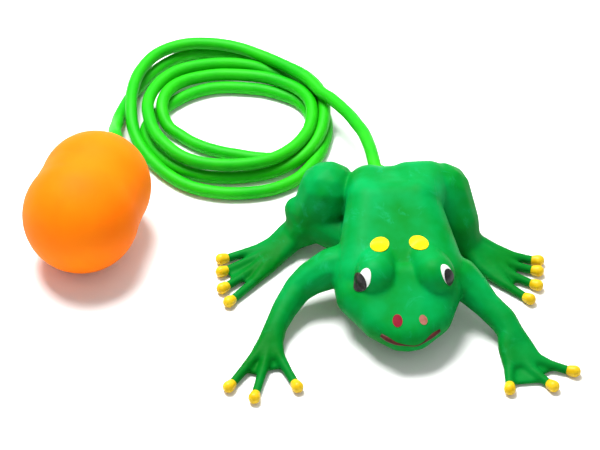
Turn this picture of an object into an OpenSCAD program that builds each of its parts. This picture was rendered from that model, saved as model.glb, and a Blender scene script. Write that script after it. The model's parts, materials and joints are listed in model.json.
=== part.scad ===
// Air-powered jumping frog: a soft moulded frog that stands on a folded air
// bladder, joined by a coiled air tube to a squeeze bulb. Millimetres, +Z up.
// The frog faces -Y. The origin is the middle of the bladder's sole, on the floor.

/* [Frog body] */
// Half width of the chest, outside
chest_half_w = 22.5; // [20:0.5:25]
// Top of the hip ridge above the floor
hip_top_z = 34; // [31:0.5:37]
// Wall of the hollow moulded body
skin_wall = 2.2; // [1.6:0.1:2.8]
// Clearance of a bonded joint between two soft mouldings
bond_gap = 0.1; // [0.05:0.05:0.2]
// Radius of the raised bulge over each eye
eye_bulge_r = 7; // [6:0.5:8]

/* [Legs and toes] */
// Radius of the front legs at the elbow
arm_r = 4.7; // [4:0.1:5.5]
// Radius of the thigh's round lobe
thigh_r = 10.2; // [8.5:0.1:11]
// Radius of a toe where it leaves the palm
toe_r = 1.5; // [1.2:0.1:1.8]
// Radius of the yellow ball on a toe's tip
tip_r = 1.7; // [1.5:0.1:2]

/* [Belly and kicker] */
// Thickness of the plate that closes the belly
belly_plate_t = 2; // [1.5:0.1:2.5]
// Width of the belly plate
belly_plate_w = 28; // [26:0.5:32]
// Length of the belly plate, front to back
belly_plate_len = 46; // [42:0.5:48]
// Width of the folded bladder
kicker_w = 17; // [14:0.5:20]
// Length of the bladder from its fold to its free end
kicker_len = 27; // [22:0.5:29]
// Radius of the round fold that the lower leaf hinges on
fold_r = 2.7; // [2.4:0.1:3]
// Thickness of each leaf of the bladder
leaf_t = 1.9; // [1.6:0.1:2]
// Clearance between the moving leaf and what is beside it
leaf_gap = 0.35; // [0.3:0.05:0.5]
// Thickness of the sole pad on the lower leaf
sole_t = 0.5; // [0.4:0.1:0.6]

/* [Air tube] */
// Outer diameter of the air tube
tube_d = 4.5; // [4:0.1:5]
// Bore of the air tube
tube_bore = 2.5; // [2:0.1:2.8]
// Clearance between the tube and a bore that it passes through
tube_fit = 0.1; // [0.05:0.05:0.2]
// Outer radius of the coil
coil_outer_r = 41; // [39:0.5:42]
// Radius of the open middle of the coil
coil_inner_r = 16; // [14:0.5:22]
// Height of the coil as it lies
coil_h = 11; // [9:0.5:14]

/* [Squeeze bulb] */
// Radius of the bulb's front lobe
bulb_front_r = 19.6; // [18:0.1:21]
// Radius of the bulb's rear lobe, beside the neck
bulb_rear_r = 18.8; // [17.5:0.1:20]
// Distance between the middles of the two lobes
bulb_lobe_gap = 15; // [12:0.5:18]
// Wall of the bulb
bulb_wall = 2.2; // [1.6:0.1:3]
// Outer radius of the bulb's neck
neck_r = 3.8; // [3.4:0.1:4.6]
// Length of neck that stands out of the bulb
neck_len = 4; // [3:0.5:6]
// Depth that the tube goes into the neck
neck_grip = 4; // [3:0.5:6]
// Thickness of the barb's flange inside the bulb
barb_flange_t = 1; // [0.8:0.1:1.4]

/* [Air fittings] */
// Outer radius of the rump grommet's flange
grommet_flange_r = 4.2; // [3.8:0.1:5]
// Thickness of the grommet's flange
grommet_flange_t = 1; // [0.8:0.1:1.4]
// Outer radius of the grommet's barrel
grommet_barrel_r = 3.2; // [3:0.1:3.5]
// Outer diameter of the thin bore liners pushed into the tube's ends
barb_d = 2.4; // [2:0.1:2.4]
// Wall of the bore liners
barb_wall = 0.5; // [0.4:0.1:0.6]

/* [Hidden] */
left = 0;
right = 1;
side_sign = [-1, 1];
fine = 96;
soft = 24;
toe_soft = 14;

// Heights of the flat stack under the belly, from the floor up
axle_z = fold_r;
upper_leaf_z = 2 * fold_r - leaf_t;
belly_z = 2 * fold_r;
plate_top_z = belly_z + belly_plate_t;
fold_y = -kicker_len / 2;
lower_leaf_y = fold_y + fold_r + leaf_gap;
kicker_end_y = kicker_len / 2;
plate_y = 2;

// Round forms of the torso and the head as [x, y, z, radius], for the right half
torso_balls = [
    [chest_half_w - 10, -5, belly_z + 9.6, 10],
    [10, 3, 19, 9],
    [8, 19, hip_top_z - 8.5, 8.5],
    [11, 23, 17, 9.5],
    [5, 30, 19, 8.5],
    [8, 22, belly_z + 7, 8]
];
head_balls = [
    [12, -13, 14.5, 7.5],
    [8, -10, 18, 7],
    [8.5, -23, 12, 6.2],
    [3.2, -27.8, 11, 5.8]
];
eye_at = [10, -11.8, 22.4];
eye_root = [8.5, -8.5, 18];
hip_hump = [[9, 18.5, hip_top_z - 8], [5.8, 30, 20.5]];
hip_hump_r = [8.4, 8.6];

// Each leg as [x, y, z] from its root to its end on the palm
arm_path = [
    [[-15, 0, 15], [-36, -4.5, 9.5], [-43, -17, 5.8], [-47.5, -26.5, 2.8]],
    [[13.5, -6, 15], [29.5, -18.5, 9.5], [33.5, -28, 5.8], [37, -37, 2.8]]
];
thigh_path = [
    [[-21, 34, 19.5], [-28.5, 27.5, 10.2], [-35.5, 26.5, 4.6], [-44, 20.5, 2.6]],
    [[18.5, 31, 19.5], [25, 22, 10.2], [31, 17.5, 4.6], [38, 10.5, 2.6]]
];
arm_radii = [1.55 * arm_r, arm_r, 0.8 * arm_r, 1.8 * toe_r];
thigh_radii = [thigh_r, 0.78 * thigh_r, 0.42 * thigh_r, 1.7 * toe_r];

// Toe tips as [x, y], outermost toe first
front_tips = [
    [[-60, -38], [-52, -43.5], [-37.5, -40]],
    [[54, -41], [46, -47], [31.5, -47]]
];
hind_tips = [
    [[-58.5, 21], [-59, 14.5], [-59, 6.5], [-57, 0.5]],
    [[51, 11], [49.5, 5], [47.5, -2], [44, -8]]
];
// How far each web reaches along its two toes
front_webs = [0.45, 0.45];
hind_webs = [0.35, 0.7, 0.35];

// Rump fitting: the tube leaves the frog along +Y here
rump_x = -3.5;
rump_z = 22.5;
rump_face_y = 37;
rump_end_y = rump_face_y + grommet_flange_t;
port_at = [0, 13];
port_stem_r = barb_d / 2;
port_stem_h = 6;
port_flange_r = 4;
port_flange_t = 0.8;

// Bulb: the middle of the front lobe, and its turn about Z from +Y
bulb_at = [-105.5, 29];
bulb_turn = -21;
bulb_z = bulb_front_r;
neck_root_s = bulb_lobe_gap + bulb_rear_r - bulb_wall;
neck_end_s = bulb_lobe_gap + bulb_rear_r + neck_len;
neck_bore_r = tube_d / 2 + tube_fit;
neck_stop_s = neck_end_s - neck_grip;
bulb_taper = asin((bulb_front_r - bulb_rear_r) / bulb_lobe_gap);
coil_at = [-51, 92];

// Tube routes outside, by hand, as [x, y, z]
lead_frog_route = [
    [rump_x, rump_end_y + tube_fit, rump_z],
    [-3.2, 46, 22], [-2.2, 54, 19.5], [-1.4, 62, 15.5], [-1.8, 70, 11], [-3.2, 78, 7.6],
    [-6, 86, 5.5], [-10, 94, 5], [-14.5, 102, 5], [-20, 109.5, 5]
];
neck_stop_at = [
    bulb_at[0] - neck_stop_s * sin(bulb_turn),
    bulb_at[1] + neck_stop_s * cos(bulb_turn)
];
lead_bulb_route = [
    [neck_stop_at[0], neck_stop_at[1], bulb_z],
    [neck_stop_at[0] + 1.5, neck_stop_at[1] + 4.2, bulb_z],
    [-91.1, 69.5, 18.9], [-90.8, 75, 16.6], [-90.8, 80.5, 13], [-90.6, 86, 9.3],
    [-89.8, 92, 6.6], [-88.2, 98, 5.3], [-85.8, 104, 5]
];
inner_tube_route = [
    [rump_x, rump_end_y, rump_z], [rump_x, 33, rump_z], [-3.4, 28, 21.9], [-3, 23.5, 19.8],
    [-2.2, 19.5, 16.8], [-1.2, 16, 13.8], [-0.4, 13.8, 11], [0, 13, 8.8]
];

// ---------- shared shapes ----------

module ball(at, r, sides = soft) {
    translate(at) sphere(r, $fn = sides);
}

module both_balls(balls, grow) {
    hull() for (b = balls, s = side_sign) ball([s * b[0], b[1], b[2]], b[3] + grow);
}

module limb(path, radii, first = 0) {
    for (i = [first : len(path) - 2]) hull() {
        ball(path[i], radii[i]);
        ball(path[i + 1], radii[i + 1]);
    }
}

function tip_at(tip) = [tip[0], tip[1], tip_r];
function between(a, b, t) = a + t * (b - a);

module toes(palm, palm_r, tips, webs) {
    difference() {
        union() {
            for (t = tips) hull() {
                ball(palm, palm_r, toe_soft);
                ball(tip_at(t), 0.72 * toe_r, toe_soft);
            }
            for (i = [0 : len(webs) - 1]) hull() {
                ball(palm, 0.7 * toe_r, toe_soft);
                ball(between(palm, tip_at(tips[i]), webs[i]), 0.7 * toe_r, toe_soft);
                ball(between(palm, tip_at(tips[i + 1]), webs[i]), 0.7 * toe_r, toe_soft);
            }
        }
        for (t = tips) ball(tip_at(t), tip_r + bond_gap);
    }
}

module toe_balls(tips) {
    color("gold") for (t = tips) translate(tip_at(t)) sphere(tip_r, $fn = fine);
}

// A tube swept along a route, with flat ends
function unit(v) = v / norm(v);
function heading(route, i) = unit(route[min(i + 1, len(route) - 1)] - route[max(i - 1, 0)]);
function ring_x(d) = unit(cross(abs(d[2]) < 0.9 ? [0, 0, 1] : [0, 1, 0], d));
function ring(at, d, r, sides) = [
    for (k = [0 : sides - 1]) at + r * (cos(360 * k / sides) * ring_x(d)
        + sin(360 * k / sides) * cross(d, ring_x(d)))
];
module swept_tube(route, r, start = undef, sides = 10) {
    n = len(route);
    points = [
        for (i = [0 : n - 1]) each ring(route[i], i == 0 && !is_undef(start) ? start : heading(route, i), r, sides)
    ];
    walls = [
        for (i = [0 : n - 2], k = [0 : sides - 1]) let (a = i * sides, m = (k + 1) % sides)
            each [[a + k, a + sides + k, a + sides + m], [a + k, a + sides + m, a + m]]
    ];
    ends = [[for (k = [0 : sides - 1]) k], [for (k = [sides - 1 : -1 : 0]) (n - 1) * sides + k]];
    polyhedron(points, concat(walls, ends), convexity = 6);
}

// ---------- frog ----------

module torso_form(grow) {
    both_balls(torso_balls, grow);
}

module body_form(grow) {
    torso_form(grow);
    both_balls(head_balls, grow);
    for (s = side_sign) hull() {
        ball([s * eye_at[0], eye_at[1], eye_at[2]], eye_bulge_r + grow);
        ball([s * eye_root[0], eye_root[1], eye_root[2]], 0.8 * eye_bulge_r + grow);
    }
    for (s = side_sign) hull() for (i = [0, 1])
        ball([s * hip_hump[i][0], hip_hump[i][1], hip_hump[i][2]], hip_hump_r[i] + grow);
}

module plate_outline(grow) {
    hull() for (s = [-1, 1]) translate([0, plate_y + s * (belly_plate_len - belly_plate_w) / 2])
        circle(belly_plate_w / 2 + grow, $fn = 48);
}

module body_skin() {
    color("green") difference() {
        body_form(0);
        torso_form(-skin_wall);
        translate([0, 0, -1]) linear_extrude(plate_top_z + 1 + bond_gap) plate_outline(bond_gap);
        translate([-60, -60, -1]) cube([120, 120, belly_z + 1]);
        translate([rump_x, rump_face_y, rump_z]) rotate([-90, 0, 0])
            cylinder(10, r = grommet_flange_r + bond_gap, $fn = 48);
        translate([rump_x, rump_face_y - 10, rump_z]) rotate([-90, 0, 0])
            cylinder(20, r = grommet_barrel_r + bond_gap, $fn = 48);
    }
}

module belly_plate() {
    color("darkgreen") difference() {
        translate([0, 0, belly_z]) linear_extrude(belly_plate_t)
            translate([0, plate_y]) union() {
                reach = (belly_plate_len - belly_plate_w) / 2;
                for (s = [-1, 1]) translate([0, s * reach]) circle(belly_plate_w / 2, $fn = fine);
                translate([-belly_plate_w / 2, -reach]) square([belly_plate_w, 2 * reach]);
            }
        translate([port_at[0], port_at[1], belly_z - 1])
            cylinder(belly_plate_t + 2, r = port_stem_r + tube_fit, $fn = fine);
    }
}

module front_leg(side) {
    color("green") difference() {
        union() {
            limb(arm_path[side], arm_radii);
            toes(arm_path[side][3], arm_radii[3], front_tips[side], front_webs);
        }
        body_form(bond_gap);
        translate([-100, -100, -10]) cube([200, 200, 10]);
    }
}

module hind_leg(side) {
    color("green") difference() {
        union() {
            limb(thigh_path[side], thigh_radii);
            toes(thigh_path[side][3], thigh_radii[3], hind_tips[side], hind_webs);
        }
        body_form(bond_gap);
        translate([-100, -100, -10]) cube([200, 200, 10]);
    }
}

module front_leg_left() { front_leg(left); }
module front_leg_right() { front_leg(right); }
module hind_leg_left() { hind_leg(left); }
module hind_leg_right() { hind_leg(right); }
module toe_tips_front_left() { toe_balls(front_tips[left]); }
module toe_tips_front_right() { toe_balls(front_tips[right]); }
module toe_tips_hind_left() { toe_balls(hind_tips[left]); }
module toe_tips_hind_right() { toe_balls(hind_tips[right]); }

// ---------- air fittings in the frog ----------

module rump_grommet() {
    barrel_len = skin_wall + 2.5;
    color("yellowgreen") translate([rump_x, rump_end_y, rump_z]) rotate([90, 0, 0]) difference() {
        union() {
            cylinder(grommet_flange_t, r = grommet_flange_r, $fn = fine);
            cylinder(grommet_flange_t + barrel_len, r = grommet_barrel_r, $fn = fine);
        }
        translate([0, 0, -1]) cylinder(barrel_len + 5, r = tube_d / 2 + tube_fit, $fn = fine);
    }
}

module inner_tube() {
    color("limegreen") swept_tube(inner_tube_route, tube_d / 2, [0, -1, 0]);
}

module air_port() {
    color("ivory") difference() {
        union() {
            translate([port_at[0], port_at[1], belly_z - leaf_t])
                cylinder(leaf_t + port_stem_h, r = port_stem_r, $fn = fine);
            translate([port_at[0], port_at[1], plate_top_z])
                cylinder(port_flange_t, r = port_flange_r, $fn = fine);
        }
        translate([port_at[0], port_at[1], 0])
            cylinder(belly_z + port_stem_h + 2, r = port_stem_r - barb_wall, $fn = fine);
    }
}

// ---------- folded bladder under the belly ----------

module leaf_outline(start_y) {
    corner_r = 3;
    union() {
        for (s = [-1, 1]) translate([s * (kicker_w / 2 - corner_r), kicker_end_y - corner_r])
            circle(corner_r, $fn = fine);
        translate([-kicker_w / 2, start_y]) square([kicker_w, kicker_end_y - corner_r - start_y]);
        translate([-kicker_w / 2 + corner_r, start_y]) square([kicker_w - 2 * corner_r, kicker_end_y - start_y]);
    }
}

module kicker_upper_leaf() {
    color("darkseagreen") difference() {
        union() {
            translate([0, 0, upper_leaf_z]) linear_extrude(leaf_t) leaf_outline(fold_y);
            translate([-kicker_w / 2, fold_y, axle_z]) rotate([0, 90, 0]) cylinder(kicker_w, r = fold_r, $fn = fine);
        }
        translate([port_at[0], port_at[1], upper_leaf_z - 1])
            cylinder(leaf_t + 2, r = port_stem_r + tube_fit, $fn = fine);
    }
}

module kicker_lower_leaf() {
    color("darkseagreen") translate([0, 0, sole_t]) linear_extrude(leaf_t) leaf_outline(lower_leaf_y);
}

module kicker_sole() {
    color("dimgray") linear_extrude(sole_t) leaf_outline(lower_leaf_y + 2);
}

// ---------- air tube ----------

module tube_lead_frog() {
    color("limegreen") swept_tube(lead_frog_route, tube_d / 2, [0, 1, 0]);
}

module tube_lead_bulb() {
    color("limegreen") swept_tube(lead_bulb_route, tube_d / 2, [-sin(bulb_turn), cos(bulb_turn), 0]);
}

module tube_coil() {
    band_r = tube_d / 2;
    color("limegreen") translate([coil_at[0], coil_at[1], 0]) rotate_extrude($fn = fine) union() {
        for (x = [coil_inner_r + band_r, coil_outer_r - band_r], y = [band_r, coil_h - band_r])
            translate([x, y]) circle(band_r, $fn = 32);
        translate([coil_inner_r + band_r, 0]) square([coil_outer_r - coil_inner_r - tube_d, coil_h]);
        translate([coil_inner_r, band_r]) square([coil_outer_r - coil_inner_r, coil_h - tube_d]);
    }
}

// ---------- squeeze bulb ----------

// Half outline of the bulb, radius along X and length along Y
module bulb_half_outline(inset) {
    front_r = bulb_front_r - inset;
    rear_r = bulb_rear_r - inset;
    intersection() {
        union() {
            circle(front_r, $fn = fine);
            translate([0, bulb_lobe_gap]) circle(rear_r, $fn = fine);
            polygon([
                [0, 0],
                [front_r * cos(bulb_taper), front_r * sin(bulb_taper)],
                [rear_r * cos(bulb_taper), bulb_lobe_gap + rear_r * sin(bulb_taper)],
                [0, bulb_lobe_gap]
            ]);
        }
        translate([0, -bulb_front_r]) square([bulb_front_r, 3 * bulb_front_r + bulb_lobe_gap]);
    }
}

module on_bulb_axis() {
    translate([bulb_at[0], bulb_at[1], bulb_z]) rotate([0, 0, bulb_turn]) rotate([-90, 0, 0]) children();
}

module bulb_shell() {
    on_bulb_axis() difference() {
        rotate_extrude($fn = fine) difference() {
            bulb_half_outline(0);
            bulb_half_outline(bulb_wall);
        }
        cylinder(neck_end_s, r = neck_r + bond_gap, $fn = fine);
    }
}

module bulb_thumb_half() {
    color("orange") intersection() {
        bulb_shell();
        translate([-160, -20, bulb_z + bond_gap / 2]) cube([120, 120, 60]);
    }
}

module bulb_finger_half() {
    color("darkorange") intersection() {
        bulb_shell();
        translate([-160, -20, bulb_z - bond_gap / 2 - 60]) cube([120, 120, 60]);
    }
}

module bulb_neck() {
    color("orange") on_bulb_axis() difference() {
        translate([0, 0, neck_root_s]) cylinder(neck_end_s - neck_root_s, r = neck_r, $fn = fine);
        translate([0, 0, neck_root_s - 1]) cylinder(neck_end_s, r = neck_bore_r, $fn = fine);
    }
}

// Stepped hollow barb: a flange inside the bulb, a body in the neck and a stem in the tube
module bulb_barb() {
    stem_len = neck_grip - 1;
    bore_r = barb_d / 2 - barb_wall;
    color("ivory") on_bulb_axis() difference() {
        union() {
            translate([0, 0, neck_root_s - barb_flange_t]) cylinder(barb_flange_t, r = neck_r, $fn = fine);
            translate([0, 0, neck_root_s - barb_flange_t])
                cylinder(neck_stop_s - neck_root_s + barb_flange_t, r = neck_bore_r - tube_fit, $fn = fine);
            translate([0, 0, neck_stop_s - 1]) cylinder(1 + stem_len, r = barb_d / 2, $fn = fine);
        }
        cylinder(neck_end_s, r = bore_r, $fn = fine);
    }
}

body_skin();
belly_plate();
front_leg_left();
front_leg_right();
hind_leg_left();
hind_leg_right();
toe_tips_front_left();
toe_tips_front_right();
toe_tips_hind_left();
toe_tips_hind_right();
rump_grommet();
inner_tube();
air_port();
kicker_upper_leaf();
kicker_lower_leaf();
kicker_sole();
tube_lead_frog();
tube_coil();
tube_lead_bulb();
bulb_thumb_half();
bulb_finger_half();
bulb_neck();
bulb_barb();
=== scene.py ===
"""Looks of an air-powered jumping frog: skin, paint, air tube, squeeze bulb and studio.

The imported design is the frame. Every size here is in millimetres and becomes metres where a mesh is made.
"""

from __future__ import annotations

import json
import logging
import math
from dataclasses import dataclass, field
from enum import Enum

import bpy
from mathutils import Euler, Matrix, Vector

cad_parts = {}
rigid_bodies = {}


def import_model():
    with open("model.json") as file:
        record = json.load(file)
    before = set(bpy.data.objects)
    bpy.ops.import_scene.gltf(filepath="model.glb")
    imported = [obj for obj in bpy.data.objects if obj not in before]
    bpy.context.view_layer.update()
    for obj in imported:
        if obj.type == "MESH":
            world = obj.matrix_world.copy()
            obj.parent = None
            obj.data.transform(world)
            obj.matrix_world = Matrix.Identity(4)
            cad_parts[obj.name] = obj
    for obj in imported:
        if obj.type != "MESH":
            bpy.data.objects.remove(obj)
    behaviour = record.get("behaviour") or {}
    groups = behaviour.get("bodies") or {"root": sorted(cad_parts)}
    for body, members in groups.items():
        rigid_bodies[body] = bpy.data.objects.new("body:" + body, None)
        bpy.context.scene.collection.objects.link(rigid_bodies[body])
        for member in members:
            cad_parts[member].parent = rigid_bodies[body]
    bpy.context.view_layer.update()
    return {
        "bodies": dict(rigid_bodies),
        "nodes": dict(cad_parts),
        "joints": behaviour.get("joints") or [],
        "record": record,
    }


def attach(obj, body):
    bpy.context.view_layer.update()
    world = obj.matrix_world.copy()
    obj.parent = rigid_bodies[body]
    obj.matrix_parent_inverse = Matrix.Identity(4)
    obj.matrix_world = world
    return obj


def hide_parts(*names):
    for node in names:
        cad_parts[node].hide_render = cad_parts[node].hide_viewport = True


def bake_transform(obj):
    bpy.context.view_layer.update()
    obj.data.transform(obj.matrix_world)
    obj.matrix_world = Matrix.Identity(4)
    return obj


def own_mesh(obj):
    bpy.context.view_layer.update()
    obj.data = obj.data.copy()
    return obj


log = logging.getLogger("frog")
MM = 0.001

Point = tuple[float, float, float]
Ball = tuple[float, float, float, float]


class Side(Enum):
    """The two sides of the frog, as the sign of X."""

    LEFT = -1
    RIGHT = 1


# --- Mesh tools ---


def deselect() -> None:
    """Leave object mode with nothing selected."""
    if bpy.context.object and bpy.context.object.mode != "OBJECT":
        bpy.ops.object.mode_set(mode="OBJECT")
    bpy.ops.object.select_all(action="DESELECT")


def pick(*objects: bpy.types.Object) -> None:
    """Select only these objects and make the last one active.

    Args:
        objects: The objects to select.
    """
    deselect()
    for obj in objects:
        obj.select_set(True)
    bpy.context.view_layer.objects.active = objects[-1]


def apply_all(obj: bpy.types.Object) -> None:
    """Apply every modifier on a piece, in order.

    Args:
        obj: The piece.
    """
    pick(obj)
    for name in [m.name for m in obj.modifiers]:
        bpy.ops.object.modifier_apply(modifier=name)


def settle(obj: bpy.types.Object) -> None:
    """Move a piece's place, turn and scale into its mesh.

    Args:
        obj: The piece.
    """
    pick(obj)
    bpy.ops.object.transform_apply(location=True, rotation=True, scale=True)


def join(pieces: list[bpy.types.Object], name: str) -> bpy.types.Object:
    """Join meshes into one object.

    Args:
        pieces: The meshes to join.
        name: Name of the result.

    Returns:
        The joined object.
    """
    pick(*pieces)
    if len(pieces) > 1:
        bpy.ops.object.join()
    piece = bpy.context.object
    piece.name = name
    return piece


def ball(at: Ball, detail: int = 3) -> bpy.types.Object:
    """Add a round ball.

    Args:
        at: Middle and radius, in millimetres.
        detail: Subdivisions of the ball.

    Returns:
        The ball.
    """
    deselect()
    place = [v * MM for v in at[:3]]
    bpy.ops.mesh.primitive_ico_sphere_add(subdivisions=detail, radius=at[3] * MM, location=place)
    obj = bpy.context.object
    settle(obj)
    return obj


def hull(balls: list[Ball], detail: int = 3) -> bpy.types.Object:
    """Wrap one convex skin round several balls.

    Args:
        balls: Middles and radii, in millimetres.
        detail: Subdivisions of each ball.

    Returns:
        The closed convex form.
    """
    return wrapped(join([ball(b, detail) for b in balls], "form"))


def limb(balls: list[Ball]) -> list[bpy.types.Object]:
    """Wrap a skin round each pair of neighbours in a chain of balls.

    Args:
        balls: The chain, in millimetres.

    Returns:
        One convex form for each pair.
    """
    return [hull([a, b], 2) for a, b in zip(balls, balls[1:])]


def mirrored(balls: list[Ball]) -> list[Ball]:
    """Repeat balls on both sides of the X = 0 plane.

    Args:
        balls: Balls of the right half.

    Returns:
        The balls of both halves.
    """
    return [(s.value * x, y, z, r) for x, y, z, r in balls for s in Side]


def remesh(obj: bpy.types.Object, voxel: float, rounds: int, factor: float = 0.5) -> None:
    """Melt joined forms into one even skin, then relax it.

    Args:
        obj: The joined forms.
        voxel: Size of the skin's faces, in millimetres.
        rounds: How many times the skin is relaxed.
        factor: Strength of each relaxing pass.
    """
    melt = obj.modifiers.new("melt", "REMESH")
    melt.mode = "VOXEL"
    melt.voxel_size = voxel * MM
    melt.use_smooth_shade = True
    relax = obj.modifiers.new("relax", "SMOOTH")
    relax.factor = factor
    relax.iterations = rounds
    apply_all(obj)


def cut_away(obj: bpy.types.Object, tool: bpy.types.Object) -> None:
    """Cut a tool out of a piece, and remove the tool.

    The quick solver needs closed meshes. Where it changes nothing or leaves nothing, the exact one is used.

    Args:
        obj: The piece.
        tool: The closed mesh that cuts it.
    """
    kept = obj.data.copy()
    before = len(kept.polygons)
    for solver in ("MANIFOLD", "EXACT"):
        cut = obj.modifiers.new("cut", "BOOLEAN")
        cut.object = tool
        cut.operation = "DIFFERENCE"
        cut.solver = solver
        apply_all(obj)
        after = len(obj.data.polygons)
        if after and after != before:
            break
        log.info("%s: the %s solver gave %d faces", obj.name, solver, after)
        obj.data = kept.copy()
    bpy.data.meshes.remove(kept)
    bpy.data.objects.remove(tool)


def block(low: Point, high: Point) -> bpy.types.Object:
    """Add a square block.

    Args:
        low: Its lowest corner, in millimetres.
        high: Its highest corner, in millimetres.

    Returns:
        The block.
    """
    deselect()
    low, high = Vector(low) * MM, Vector(high) * MM
    bpy.ops.mesh.primitive_cube_add(size=1, location=(low + high) / 2)
    obj = bpy.context.object
    obj.scale = high - low
    settle(obj)
    return obj


def rod(start: Point, end: Point, radius: float, sides: int = 48) -> bpy.types.Object:
    """Add a round rod between two points.

    Args:
        start: One end, in millimetres.
        end: The other end, in millimetres.
        radius: Its radius, in millimetres.
        sides: Number of faces round it.

    Returns:
        The rod.
    """
    deselect()
    start, end = Vector(start) * MM, Vector(end) * MM
    run = end - start
    bpy.ops.mesh.primitive_cylinder_add(
        vertices=sides, radius=radius * MM, depth=run.length, location=(start + end) / 2,
        rotation=run.to_track_quat("Z", "Y").to_euler(),
    )
    obj = bpy.context.object
    settle(obj)
    return obj


def wrapped(obj: bpy.types.Object) -> bpy.types.Object:
    """Replace a mesh by its convex skin.

    Args:
        obj: The mesh.

    Returns:
        The same object with its new skin.
    """
    pick(obj)
    bpy.ops.object.mode_set(mode="EDIT")
    bpy.ops.mesh.select_all(action="SELECT")
    bpy.ops.mesh.convex_hull()
    bpy.ops.mesh.select_all(action="SELECT")
    bpy.ops.mesh.normals_make_consistent(inside=False)
    bpy.ops.object.mode_set(mode="OBJECT")
    return obj


def trim(obj: bpy.types.Object, place: Point, outwards: Point) -> None:
    """Cut away what lies beyond a plane, and close the cut.

    Args:
        obj: The piece.
        place: A point on the plane, in millimetres.
        outwards: Direction of the side that goes.
    """
    pick(obj)
    bpy.ops.object.mode_set(mode="EDIT")
    bpy.ops.mesh.select_all(action="SELECT")
    bpy.ops.mesh.bisect(
        plane_co=Vector(place) * MM, plane_no=outwards, use_fill=True, clear_outer=True, threshold=1e-7,
    )
    bpy.ops.object.mode_set(mode="OBJECT")


def copy_of(obj: bpy.types.Object, name: str) -> bpy.types.Object:
    """Copy a piece with its own mesh.

    Args:
        obj: The piece.
        name: Name of the copy.

    Returns:
        The copy.
    """
    pick(obj)
    bpy.ops.object.duplicate()
    twin = bpy.context.object
    twin.name = name
    return twin


def smooth(obj: bpy.types.Object, degrees: float = 50) -> None:
    """Shade a piece smooth up to an edge angle.

    Args:
        obj: The piece.
        degrees: Edges sharper than this stay sharp.
    """
    pick(obj)
    bpy.ops.object.shade_smooth_by_angle(angle=math.radians(degrees))


def dress(obj: bpy.types.Object, material: bpy.types.Material, slot: str, *bodies: str) -> None:
    """Give a piece its material, and let it ride.

    Args:
        obj: The piece.
        material: Its finish.
        slot: The record's slot of that finish. It is not used.
        bodies: The body that it rides on, if it rides on one.
    """
    obj.data.materials.clear()
    obj.data.materials.append(material)
    for body in bodies:
        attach(obj, body)


# --- Shared shader effects ---


class Nodes:
    """A short way to place and link nodes in one tree."""

    def __init__(self, tree: bpy.types.NodeTree) -> None:
        """Keep the tree.

        Args:
            tree: The node tree to build in.
        """
        self.tree = tree

    def add(self, kind: str, **values: object) -> bpy.types.Node:
        """Add a node and set its inputs or properties.

        Args:
            kind: The node's type name.
            values: Input or property names, with _ for a space, and their values.

        Returns:
            The node.
        """
        node = self.tree.nodes.new(kind)
        for name, value in values.items():
            title = name.replace("_", " ")
            if hasattr(node, name):
                setattr(node, name, value)
            else:
                node.inputs[title].default_value = value
        return node

    def link(self, start: bpy.types.NodeSocket, end: bpy.types.NodeSocket) -> None:
        """Link two sockets."""
        self.tree.links.new(start, end)


def effect_group(name: str, inputs: dict[str, object], outputs: dict[str, str]) -> bpy.types.ShaderNodeTree:
    """Start a shader node group with named sockets.

    Args:
        name: Name of the group.
        inputs: Name and default value of each input.
        outputs: Name and socket type of each output.

    Returns:
        The empty group with its sockets.
    """
    group = bpy.data.node_groups.new(name, "ShaderNodeTree")
    for title, value in inputs.items():
        kind = "NodeSocketFloat" if isinstance(value, (int, float)) else "NodeSocketColor"
        socket = group.interface.new_socket(title, in_out="INPUT", socket_type=kind)
        socket.default_value = value
    for title, kind in outputs.items():
        group.interface.new_socket(title, in_out="OUTPUT", socket_type=kind)
    return group


# Noise values between which the cloudy colour and the rubs, partly a painted highlight, come in
CLOUD_RANGE = (0.35, 0.65)
RUB_AND_SHEEN_RANGE = (0.58, 0.78)
# How much finer the rubs and painted highlights are than the clouds, and how much rougher a full rub is
RUB_AND_SHEEN_FINENESS = 2.3
RUB_AND_SHEEN_DULLS = 0.35
# Weight of the fine grain beside the dimples, and the dimples' scale
GRAIN_SHARE = 0.35
DIMPLE_SCALE = 260.0
# Heights in millimetres between which the shade painted near the floor fades out, and its colour
PAINTED_SHADE_RANGE = (3, 19)
PAINTED_SHADE_TINT = (0.4, 0.55, 0.2, 1)


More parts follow.
